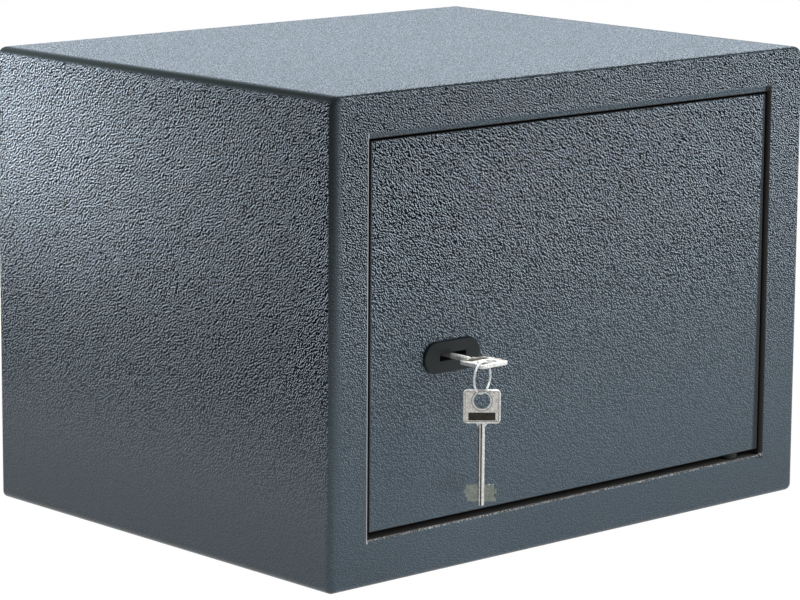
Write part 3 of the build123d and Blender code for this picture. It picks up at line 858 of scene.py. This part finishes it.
def make_metal(name, dark, light, rough, stretch, size, metallic=1.0):
    """A drawn metal, from its darkest to its lightest and from its smoothest to its roughest."""
    material, tree, shader, spot = new_material(name)
    smoothest, roughest = rough
    metal = use(
        tree,
        drawn_metal,
        Vector=spot["Object"],
        Stretch=stretch,
        Size=size,
        Dark=dark,
        Light=light,
        Smoothest=smoothest,
        Roughest=roughest,
    )
    paint(tree, shader, metal["Colour"], metal["Roughness"])
    shader["Metallic"].default_value = metallic
    shader["Specular IOR Level"].default_value = 0.15
    bump(tree, shader, metal["Height"], 0.00002, 0.5)
    return material


def make_black_plastic():
    """Matt black moulded plastic with a fine spark grain."""
    material, tree, shader, spot = new_material("black_plastic")
    grain = use(tree, speckle, Vector=spot["Object"], Size=0.00045, Contrast=1.5)["Value"]
    colour = blend_colours(tree, grain, (0.007, 0.010, 0.010, 1.0), (0.013, 0.017, 0.018, 1.0))
    paint(tree, shader, colour, ramp(tree, grain, 0.0, 1.0, 0.42, 0.55))
    shader["Specular IOR Level"].default_value = 0.36
    bump(tree, shader, grain, 0.00004, 0.5)
    return material


def make_mat_felt():
    """Dark needle felt: short fibres that lie every way."""
    material, tree, shader, spot = new_material("mat_felt")
    fibres = use(tree, brushing, Vector=spot["Object"], Stretch=(1.0, 0.25, 1.0), Size=0.0007)["Lines"]
    crossed = use(tree, brushing, Vector=spot["Object"], Stretch=(0.25, 1.0, 1.0), Size=0.0008)["Lines"]
    nap = highest(tree, fibres, crossed)
    colour = blend_colours(tree, nap, (0.010, 0.010, 0.011, 1.0), (0.034, 0.034, 0.037, 1.0))
    paint(tree, shader, colour, ramp(tree, nap, 0.0, 1.0, 0.85, 0.98))
    shader["Sheen Weight"].default_value = 0.3
    bump(tree, shader, nap, 0.0004)
    return material


# ---------------------------------------------------------------- the coats and the keys
spare_axis = Vector((math.cos(spare_yaw), math.sin(spare_yaw), 0.0))
spare_middle = (spare_low + spare_high) / 2
spare_hole = Vector((spare_middle.x, spare_middle.y, spare_high.z - bow_hole_from_top))
inserted_middle = (inserted_low + inserted_high) / 2
inserted_hole = Vector((inserted_middle.x, inserted_low.y + bow_hole_from_top, inserted_middle.z))

cabinet_coat = make_cabinet_coat()
door_coat = make_door_coat()
spare_nickel = make_nickel("spare_nickel", spare_hole, spare_axis, (0.0, 0.0, 1.0))
inserted_nickel = make_nickel("inserted_nickel", inserted_hole, (-1.0, 0.0, 0.0), (0.0, -1.0, 0.0))
black_plastic = make_black_plastic()
mat_felt = make_mat_felt()

# ---------------------------------------------------------------- the metals, with lines along their work
upright_lines = (1.0, 1.0, 0.08)
level_lines = (0.1, 1.0, 1.0)

bright_steel = make_metal(
    "bright_steel",
    dark=(0.46, 0.46, 0.46, 1.0),
    light=(0.60, 0.60, 0.60, 1.0),
    rough=(0.22, 0.36),
    stretch=upright_lines,
    size=0.0006,
)
zinc_steel = make_metal(
    "zinc_steel",
    dark=(0.50, 0.51, 0.53, 1.0),
    light=(0.64, 0.65, 0.66, 1.0),
    rough=(0.30, 0.48),
    stretch=level_lines,
    size=0.0010,
)
lock_brass = make_metal(
    "lock_brass",
    dark=(0.58, 0.43, 0.17, 1.0),
    light=(0.72, 0.56, 0.26, 1.0),
    rough=(0.24, 0.38),
    stretch=level_lines,
    size=0.0007,
)
# near-black brass for the rotor deep in the keyhole: painted shade
shaded_brass = make_metal(
    "shaded_brass",
    dark=(0.030, 0.021, 0.010, 1.0),
    light=(0.060, 0.044, 0.020, 1.0),
    rough=(0.35, 0.50),
    stretch=level_lines,
    size=0.0007,
)
blacked_steel = make_metal(
    "blacked_steel",
    dark=(0.008, 0.008, 0.009, 1.0),
    light=(0.018, 0.018, 0.019, 1.0),
    rough=(0.45, 0.60),
    stretch=upright_lines,
    size=0.0006,
    metallic=0.0,
)

# ---------------------------------------------------------------- the finish of each slot
finishes = {
    "hammer_coat": cabinet_coat,
    "mat_felt": mat_felt,
    "bright_steel": bright_steel,
    "blacked_steel": blacked_steel,
    "zinc_steel": zinc_steel,
    "black_plastic": black_plastic,
    "lock_brass": lock_brass,
    "key_nickel": spare_nickel,
}
# nodes whose finish differs from their slot's
own_finishes = {
    "inserted_key": inserted_nickel,
    # painted shade: the rotor deep in the keyhole is near-black brass
    "lock_rotor": shaded_brass,
    # painted shade: the bottom hinge block, seen in the gap below the door, is black
    "hinge_block_bottom": blacked_steel,
}
door_body = set(frame["record"]["behaviour"]["bodies"]["door"])


def dress_frame():
    """Give every node of the frame the material of its finish."""
    for part in frame["record"]["subparts"]:
        name = part["node"]
        finish = finishes[part["material_slot"]]
        if finish is cabinet_coat and name in door_body:
            finish = door_coat
        finish = own_finishes.get(name, finish)
        for slot in frame["nodes"][name].material_slots:
            slot.material = finish


dress_frame()


# ================================================================ pieces
def link_mesh(name, mesh_work, material, smooth=True):
    """Finish a bmesh as a new object."""
    mesh = bpy.data.meshes.new(name)
    bmesh.ops.recalc_face_normals(mesh_work, faces=mesh_work.faces)
    mesh_work.to_mesh(mesh)
    mesh_work.free()
    mesh.materials.append(material)
    for face in mesh.polygons:
        face.use_smooth = smooth
    piece = bpy.data.objects.new(name, mesh)
    bpy.context.scene.collection.objects.link(piece)
    return piece


def make_split_ring():
    """Two turns of flattened wire with the jog that takes it from one turn to the other."""
    centre = (ring_low + ring_high) / 2
    ring_r = (ring_high.z - ring_low.z) / 2 - ring_wire_radial
    across = Vector((math.cos(ring_yaw), math.sin(ring_yaw), 0.0))
    axle = Vector((math.sin(ring_yaw), -math.cos(ring_yaw), 0.0))
    up = Vector((0.0, 0.0, 1.0))
    jog_from = 2 * math.pi - ring_jog
    whole = 4 * math.pi - ring_jog
    work = bmesh.new()
    sections = []
    for step in range(ring_steps + 1):
        turn = whole * step / ring_steps
        share = min(max((turn - jog_from) / ring_jog, 0.0), 1.0)
        shift = (share * share * (3 - 2 * share) - 0.5) * ring_turn_pitch
        angle = turn + ring_jog_place
        outward = across * math.cos(angle) + up * math.sin(angle)
        middle = centre + outward * ring_r + axle * shift
        section = []
        for side in range(ring_sides):
            around = 2 * math.pi * side / ring_sides
            radial = outward * math.cos(around) * ring_wire_radial
            axial = axle * math.sin(around) * ring_wire_axial
            section.append(work.verts.new(middle + radial + axial))
        sections.append(section)
    for first, second in zip(sections, sections[1:]):
        for side in range(ring_sides):
            after = (side + 1) % ring_sides
            work.faces.new((first[side], first[after], second[after], second[side]))
    work.faces.new(sections[0])
    work.faces.new(sections[-1])
    return link_mesh("split_ring_wire", work, spare_nickel)


split_ring_wire = make_split_ring()
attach(split_ring_wire, "key_ring")
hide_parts("split_ring")


# ================================================================ studio
def make_floor_paper():
    """White paper that shines white to the camera and in gloss, and still takes a faint shadow."""
    material = bpy.data.materials.new("studio_floor")
    material.use_nodes = True
    tree = material.node_tree
    tree.nodes.clear()
    seen = add(tree, "ShaderNodeLightPath").outputs
    straight = highest(tree, seen["Is Camera Ray"], seen["Is Glossy Ray"], seen["Is Transmission Ray"])
    place = add(tree, "ShaderNodeTexCoord").outputs["Object"]
    # in reflections the floor darkens towards the camera's side
    table = ramp(tree, reach_along(tree, place, view_way), -1.35, -0.65, 0.10, 1.0)
    brightness = highest(tree, table, product(tree, seen["Is Camera Ray"], floor_glow))
    paper = add(tree, "ShaderNodeBsdfDiffuse", {"Color": (0.92, 0.92, 0.92, 1.0)}).outputs[0]
    white = {"Color": (1.0, 1.0, 1.0, 1.0), "Strength": brightness}
    glow = add(tree, "ShaderNodeEmission", white).outputs[0]
    mixed = mix_shaders(tree, product(tree, straight, floor_glow_share), paper, glow)
    surface = tree.nodes.new("ShaderNodeOutputMaterial")
    tree.links.new(mixed, surface.inputs["Surface"])
    return material


def make_floor():
    """A plain square of floor round the safe."""
    work = bmesh.new()
    ways = (-1, -1), (1, -1), (1, 1), (-1, 1)
    work.faces.new([work.verts.new((x * floor_half_w, y * floor_half_w, 0.0)) for x, y in ways])
    floor = link_mesh("studio_floor", work, make_floor_paper(), smooth=False)


def make_world():
    """White behind the object for camera and gloss, with a dimmer ceiling; a plain fill for the rest."""
    world = bpy.data.worlds.new("studio")
    bpy.context.scene.world = world
    world.use_nodes = True
    tree = world.node_tree
    tree.nodes.clear()
    seen = add(tree, "ShaderNodeLightPath").outputs
    mirrored = highest(tree, seen["Is Glossy Ray"], seen["Is Transmission Ray"])
    direction = add(tree, "ShaderNodeTexCoord").outputs["Generated"]
    along = reach_along(tree, direction, view_way)
    # the ceiling starts higher up behind the safe
    behind = highest(tree, along, 0.0)
    above = math_node(tree, "MULTIPLY_ADD", behind, -0.45, parts_of(tree, direction)["Z"])
    ceiling = ramp(tree, above, 0.16, 0.34)
    camera_side = fade(tree, along, -0.75, -0.35)
    shade = highest(tree, ceiling, camera_side)
    gloss_colour = blend_colours(tree, shade, (0.97, 1.13, 1.29, 1.0), (0.07, 0.08, 0.085, 1.0))

    def shine(colour, strength=1.0):
        """A background of one colour."""
        return add(tree, "ShaderNodeBackground", {"Color": colour, "Strength": strength}).outputs[0]

    fill = shine((0.92, 0.97, 1.0, 1.0), 0.18)
    unseen = mix_shaders(tree, mirrored, fill, shine(gloss_colour))
    whole = mix_shaders(tree, seen["Is Camera Ray"], unseen, shine((1.0, 1.0, 1.0, 1.0)))
    surface = tree.nodes.new("ShaderNodeOutputWorld")
    tree.links.new(whole, surface.inputs["Surface"])


def make_softbox(name, place, aim, size, power, spread=180.0):
    """A rectangular lamp, left out of reflections, that points from its place to its aim."""
    lamp = bpy.data.lights.new(name, "AREA")
    lamp.shape = "RECTANGLE"
    lamp.size, lamp.size_y = size
    lamp.energy = power
    lamp.spread = math.radians(spread)
    box = bpy.data.objects.new(name, lamp)
    bpy.context.scene.collection.objects.link(box)
    box.location = place
    box.rotation_mode = "QUATERNION"
    box.rotation_quaternion = (Vector(aim) - Vector(place)).to_track_quat("-Z", "Y")
    box.visible_camera = False
    box.visible_glossy = False


def make_lamps():
    """A broad lamp above, one for the side, two for the front, and a small one aimed at the keys."""
    make_softbox(
        "top_softbox",
        place=(0.0, 0.2, 1.7),
        aim=(0.0, 0.0, cabinet_top / 2),
        size=(1.6, 1.4),
        power=12.0,
    )
    make_softbox(
        "left_softbox",
        place=(-0.50, 0.42, 0.37),
        aim=(-0.22, 0.17, 0.30),
        size=(0.20, 0.16),
        power=0.33,
        spread=56.0,
    )
    make_softbox(
        "right_softbox",
        place=(0.75, -0.75, 0.55),
        aim=(0.18, -0.17, 0.25),
        size=(0.5, 0.40),
        power=0.92,
        spread=90.0,
    )
    make_softbox(
        "low_softbox",
        place=(-0.30, -0.95, 0.10),
        aim=(-0.12, -0.17, 0.04),
        size=(0.8, 0.10),
        power=0.25,
        spread=50.0,
    )
    make_softbox(
        "key_softbox",
        place=(-0.118, -0.214, 0.26),
        aim=(-0.115, -0.214, 0.143),
        size=(0.04, 0.015),
        power=0.016,
        spread=24.0,
    )


def make_camera():
    """The camera that looks at the front left corner of the safe."""
    ahead = Vector(
        (
            math.sin(view_yaw) * math.cos(view_pitch),
            math.cos(view_yaw) * math.cos(view_pitch),
            -math.sin(view_pitch),
        )
    )
    level = Vector((math.cos(view_yaw), -math.sin(view_yaw), 0.0))
    upright = level.cross(ahead)
    right = level * math.cos(view_roll) + upright * math.sin(view_roll)
    up = upright * math.cos(view_roll) - level * math.sin(view_roll)
    lens = bpy.data.cameras.new("camera")
    lens.sensor_width = camera_film_w
    lens.lens = camera_lens
    lens.clip_start = 0.05
    lens.clip_end = 50.0
    camera = bpy.data.objects.new("camera", lens)
    bpy.context.scene.collection.objects.link(camera)
    turned = Matrix((right, up, -ahead)).transposed().to_4x4()
    camera.matrix_world = Matrix.Translation(camera_place) @ turned
    bpy.context.scene.camera = camera


make_floor()
make_world()
make_lamps()
make_camera()
bpy.context.scene.view_settings.view_transform = "Standard"
